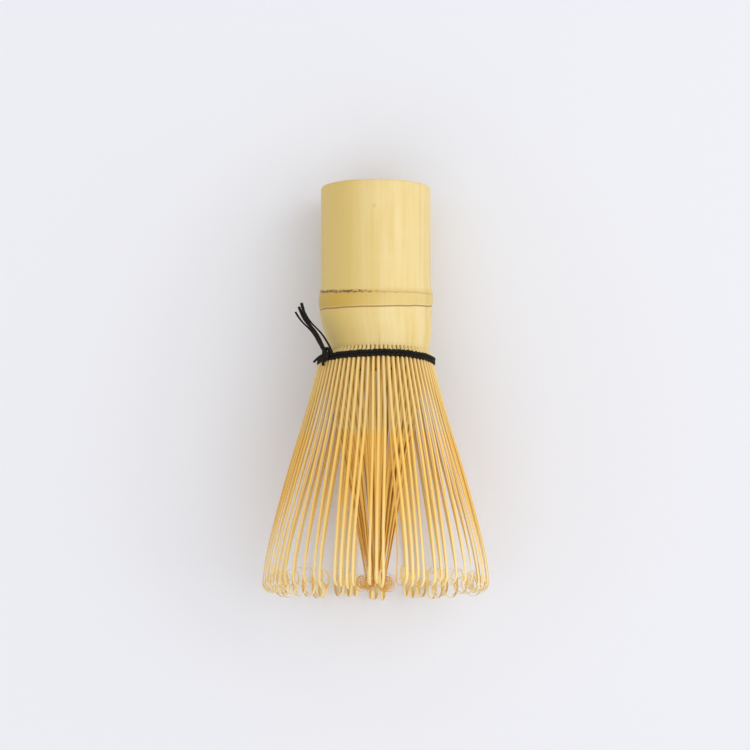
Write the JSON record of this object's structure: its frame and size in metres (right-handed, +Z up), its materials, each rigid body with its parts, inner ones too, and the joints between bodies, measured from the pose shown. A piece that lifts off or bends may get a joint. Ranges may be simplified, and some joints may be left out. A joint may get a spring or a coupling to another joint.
{
  "type": "bamboo tea whisk",
  "caption": "Bamboo tea whisk lying on its side: a plain hollow handle, a black thread, and outer and inner rows of fine split tines with curled tips that flex.",
  "frame": {"origin": "centre of the footprint on the table that the whisk lies on, at the height of the table", "axes": "+Z is up off the table, +Y points toward the end of the handle, +X is across the whisk; the whisk's own axis is level in X and falls 7.0 degrees toward the handle"},
  "size_m": [0.0608, 0.1134, 0.058],
  "materials": {
    "culm_bamboo": "satin skin of pale dried bamboo with fine lengthwise fibres",
    "outer_tine_bamboo": "shaved bamboo, satin skin outside and matt pith inside",
    "inner_tine_bamboo": "shaved bamboo, matt",
    "black_thread": "dull twisted cotton thread"
  },
  "bodies": {
    "handle": {"handle_culm": "culm_bamboo", "thread_band": "black_thread", "thread_weave": "black_thread", "thread_knot": "black_thread", "thread_tail_1": "black_thread", "thread_tail_2": "black_thread", "thread_tail_3": "black_thread", "thread_tail_4": "black_thread"},
    "outer_comb_01": {"outer_comb_01": "outer_tine_bamboo"},
    "outer_comb_02": {"outer_comb_02": "outer_tine_bamboo"},
    "outer_comb_03": {"outer_comb_03": "outer_tine_bamboo"},
    "outer_comb_04": {"outer_comb_04": "outer_tine_bamboo"},
    "outer_comb_05": {"outer_comb_05": "outer_tine_bamboo"},
    "outer_comb_06": {"outer_comb_06": "outer_tine_bamboo"},
    "outer_comb_07": {"outer_comb_07": "outer_tine_bamboo"},
    "outer_comb_08": {"outer_comb_08": "outer_tine_bamboo"},
    "outer_comb_09": {"outer_comb_09": "outer_tine_bamboo"},
    "outer_comb_10": {"outer_comb_10": "outer_tine_bamboo"},
    "outer_comb_11": {"outer_comb_11": "outer_tine_bamboo"},
    "outer_comb_12": {"outer_comb_12": "outer_tine_bamboo"},
    "outer_comb_13": {"outer_comb_13": "outer_tine_bamboo"},
    "outer_comb_14": {"outer_comb_14": "outer_tine_bamboo"},
    "outer_comb_15": {"outer_comb_15": "outer_tine_bamboo"},
    "outer_comb_16": {"outer_comb_16": "outer_tine_bamboo"},
    "outer_comb_17": {"outer_comb_17": "outer_tine_bamboo"},
    "outer_comb_18": {"outer_comb_18": "outer_tine_bamboo"},
    "outer_comb_19": {"outer_comb_19": "outer_tine_bamboo"},
    "outer_comb_20": {"outer_comb_20": "outer_tine_bamboo"},
    "inner_comb_01": {"inner_comb_01": "inner_tine_bamboo"},
    "inner_comb_02": {"inner_comb_02": "inner_tine_bamboo"},
    "inner_comb_03": {"inner_comb_03": "inner_tine_bamboo"},
    "inner_comb_04": {"inner_comb_04": "inner_tine_bamboo"},
    "inner_comb_05": {"inner_comb_05": "inner_tine_bamboo"},
    "inner_comb_06": {"inner_comb_06": "inner_tine_bamboo"},
    "inner_comb_07": {"inner_comb_07": "inner_tine_bamboo"},
    "inner_comb_08": {"inner_comb_08": "inner_tine_bamboo"},
    "inner_comb_09": {"inner_comb_09": "inner_tine_bamboo"},
    "inner_comb_10": {"inner_comb_10": "inner_tine_bamboo"},
    "inner_comb_11": {"inner_comb_11": "inner_tine_bamboo"},
    "inner_comb_12": {"inner_comb_12": "inner_tine_bamboo"}
  },
  "joints": [
    {"name": "outer_bend_01", "type": "hinge", "parent": "handle", "child": "outer_comb_01", "pos_m": [0.01427, 0.00942, 0.02356], "axis": [-0.2164, 0.1188, 0.969], "range_deg": [-1, 5], "stiffness_Nm_per_rad": 0.3},
    {"name": "outer_bend_02", "type": "hinge", "parent": "handle", "child": "outer_comb_02", "pos_m": [0.01198, 0.01005, 0.02872], "axis": [-0.5736, 0.0997, 0.8131], "range_deg": [-1, 5], "stiffness_Nm_per_rad": 0.3},
    {"name": "outer_bend_03", "type": "hinge", "parent": "handle", "child": "outer_comb_03", "pos_m": [0.00892, 0.01044, 0.0319], "axis": [-0.7934, 0.0741, 0.6042], "range_deg": [-1, 5], "stiffness_Nm_per_rad": 0.3},
    {"name": "outer_bend_04", "type": "hinge", "parent": "handle", "child": "outer_comb_04", "pos_m": [0.00504, 0.0107, 0.03401], "axis": [-0.9397, 0.0416, 0.3395], "range_deg": [-1, 5], "stiffness_Nm_per_rad": 0.3},
    {"name": "outer_bend_05", "type": "hinge", "parent": "handle", "child": "outer_comb_05", "pos_m": [0.0007, 0.01081, 0.03487], "axis": [-0.999, 0.0053, 0.0433], "range_deg": [-1, 5], "stiffness_Nm_per_rad": 0.3},
    {"name": "outer_bend_06", "type": "hinge", "parent": "handle", "child": "outer_comb_06", "pos_m": [-0.0037, 0.01075, 0.03439], "axis": [-0.9659, -0.0315, -0.2569], "range_deg": [-1, 5], "stiffness_Nm_per_rad": 0.3},
    {"name": "outer_bend_07", "type": "hinge", "parent": "handle", "child": "outer_comb_07", "pos_m": [-0.00721, 0.01057, 0.03295], "axis": [-0.866, -0.0609, -0.4963], "range_deg": [-1, 5], "stiffness_Nm_per_rad": 0.3},
    {"name": "outer_bend_08", "type": "hinge", "parent": "handle", "child": "outer_comb_08", "pos_m": [-0.00977, 0.01034, 0.03109], "axis": [-0.7373, -0.0822, -0.6706], "range_deg": [-1, 5], "stiffness_Nm_per_rad": 0.3},
    {"name": "outer_bend_09", "type": "hinge", "parent": "handle", "child": "outer_comb_09", "pos_m": [-0.01254, 0.00992, 0.02766], "axis": [-0.5, -0.1054, -0.8596], "range_deg": [-1, 5], "stiffness_Nm_per_rad": 0.3},
    {"name": "outer_bend_10", "type": "hinge", "parent": "handle", "child": "outer_comb_10", "pos_m": [-0.01427, 0.00934, 0.02295], "axis": [-0.1736, -0.1199, -0.9775], "range_deg": [-1, 5], "stiffness_Nm_per_rad": 0.3},
    {"name": "outer_bend_11", "type": "hinge", "parent": "handle", "child": "outer_comb_11", "pos_m": [-0.01427, 0.00873, 0.01793], "axis": [0.1736, -0.1199, -0.9775], "range_deg": [-1, 5], "stiffness_Nm_per_rad": 0.3},
    {"name": "outer_bend_12", "type": "hinge", "parent": "handle", "child": "outer_comb_12", "pos_m": [-0.01254, 0.00815, 0.01322], "axis": [0.5, -0.1054, -0.8596], "range_deg": [-1, 5], "stiffness_Nm_per_rad": 0.3},
    {"name": "outer_bend_13", "type": "hinge", "parent": "handle", "child": "outer_comb_13", "pos_m": [-0.00977, 0.00773, 0.00979], "axis": [0.7373, -0.0822, -0.6706], "range_deg": [-1, 5], "stiffness_Nm_per_rad": 0.3},
    {"name": "outer_bend_14", "type": "hinge", "parent": "handle", "child": "outer_comb_14", "pos_m": [-0.00721, 0.0075, 0.00793], "axis": [0.866, -0.0609, -0.4963], "range_deg": [-1, 5], "stiffness_Nm_per_rad": 0.3},
    {"name": "outer_bend_15", "type": "hinge", "parent": "handle", "child": "outer_comb_15", "pos_m": [-0.0037, 0.00733, 0.00649], "axis": [0.9659, -0.0315, -0.2569], "range_deg": [-1, 5], "stiffness_Nm_per_rad": 0.3},
    {"name": "outer_bend_16", "type": "hinge", "parent": "handle", "child": "outer_comb_16", "pos_m": [0.0007, 0.00727, 0.00601], "axis": [0.999, 0.0053, 0.0433], "range_deg": [-1, 5], "stiffness_Nm_per_rad": 0.3},
    {"name": "outer_bend_17", "type": "hinge", "parent": "handle", "child": "outer_comb_17", "pos_m": [0.00504, 0.00737, 0.00687], "axis": [0.9397, 0.0416, 0.3395], "range_deg": [-1, 5], "stiffness_Nm_per_rad": 0.3},
    {"name": "outer_bend_18", "type": "hinge", "parent": "handle", "child": "outer_comb_18", "pos_m": [0.00892, 0.00763, 0.00898], "axis": [0.7934, 0.0741, 0.6042], "range_deg": [-1, 5], "stiffness_Nm_per_rad": 0.3},
    {"name": "outer_bend_19", "type": "hinge", "parent": "handle", "child": "outer_comb_19", "pos_m": [0.01198, 0.00802, 0.01215], "axis": [0.5736, 0.0997, 0.8131], "range_deg": [-1, 5], "stiffness_Nm_per_rad": 0.3},
    {"name": "outer_bend_20", "type": "hinge", "parent": "handle", "child": "outer_comb_20", "pos_m": [0.01427, 0.00865, 0.01731], "axis": [0.2164, 0.1188, 0.969], "range_deg": [-1, 5], "stiffness_Nm_per_rad": 0.3},
    {"name": "inner_bend_01", "type": "hinge", "parent": "handle", "child": "inner_comb_01", "pos_m": [0.01185, 0.00942, 0.02357], "axis": [-0.2588, 0.1176, 0.9587], "range_deg": [0, 6], "stiffness_Nm_per_rad": 0.3},
    {"name": "inner_bend_02", "type": "hinge", "parent": "handle", "child": "inner_comb_02", "pos_m": [0.00869, 0.01009, 0.029], "axis": [-0.7071, 0.0861, 0.7019], "range_deg": [0, 6], "stiffness_Nm_per_rad": 0.3},
    {"name": "inner_bend_03", "type": "hinge", "parent": "handle", "child": "inner_comb_03", "pos_m": [0.00322, 0.01047, 0.03213], "axis": [-0.9659, 0.0315, 0.2569], "range_deg": [0, 6], "stiffness_Nm_per_rad": 0.3},
    {"name": "inner_bend_04", "type": "hinge", "parent": "handle", "child": "inner_comb_04", "pos_m": [-0.0031, 0.01047, 0.03213], "axis": [-0.9659, -0.0315, -0.2569], "range_deg": [0, 6], "stiffness_Nm_per_rad": 0.3},
    {"name": "inner_bend_05", "type": "hinge", "parent": "handle", "child": "inner_comb_05", "pos_m": [-0.00856, 0.01009, 0.029], "axis": [-0.7071, -0.0861, -0.7019], "range_deg": [0, 6], "stiffness_Nm_per_rad": 0.3},
    {"name": "inner_bend_06", "type": "hinge", "parent": "handle", "child": "inner_comb_06", "pos_m": [-0.01172, 0.00942, 0.02357], "axis": [-0.2588, -0.1176, -0.9587], "range_deg": [0, 6], "stiffness_Nm_per_rad": 0.3},
    {"name": "inner_bend_07", "type": "hinge", "parent": "handle", "child": "inner_comb_07", "pos_m": [-0.01172, 0.00865, 0.0173], "axis": [0.2588, -0.1176, -0.9587], "range_deg": [0, 6], "stiffness_Nm_per_rad": 0.3},
    {"name": "inner_bend_08", "type": "hinge", "parent": "handle", "child": "inner_comb_08", "pos_m": [-0.00856, 0.00799, 0.01188], "axis": [0.7071, -0.0861, -0.7019], "range_deg": [0, 6], "stiffness_Nm_per_rad": 0.3},
    {"name": "inner_bend_09", "type": "hinge", "parent": "handle", "child": "inner_comb_09", "pos_m": [-0.0031, 0.0076, 0.00874], "axis": [0.9659, -0.0315, -0.2569], "range_deg": [0, 6], "stiffness_Nm_per_rad": 0.3},
    {"name": "inner_bend_10", "type": "hinge", "parent": "handle", "child": "inner_comb_10", "pos_m": [0.00322, 0.0076, 0.00874], "axis": [0.9659, 0.0315, 0.2569], "range_deg": [0, 6], "stiffness_Nm_per_rad": 0.3},
    {"name": "inner_bend_11", "type": "hinge", "parent": "handle", "child": "inner_comb_11", "pos_m": [0.00869, 0.00799, 0.01188], "axis": [0.7071, 0.0861, 0.7019], "range_deg": [0, 6], "stiffness_Nm_per_rad": 0.3},
    {"name": "inner_bend_12", "type": "hinge", "parent": "handle", "child": "inner_comb_12", "pos_m": [0.01185, 0.00865, 0.0173], "axis": [0.2588, 0.1176, 0.9587], "range_deg": [0, 6], "stiffness_Nm_per_rad": 0.3}
  ]
}
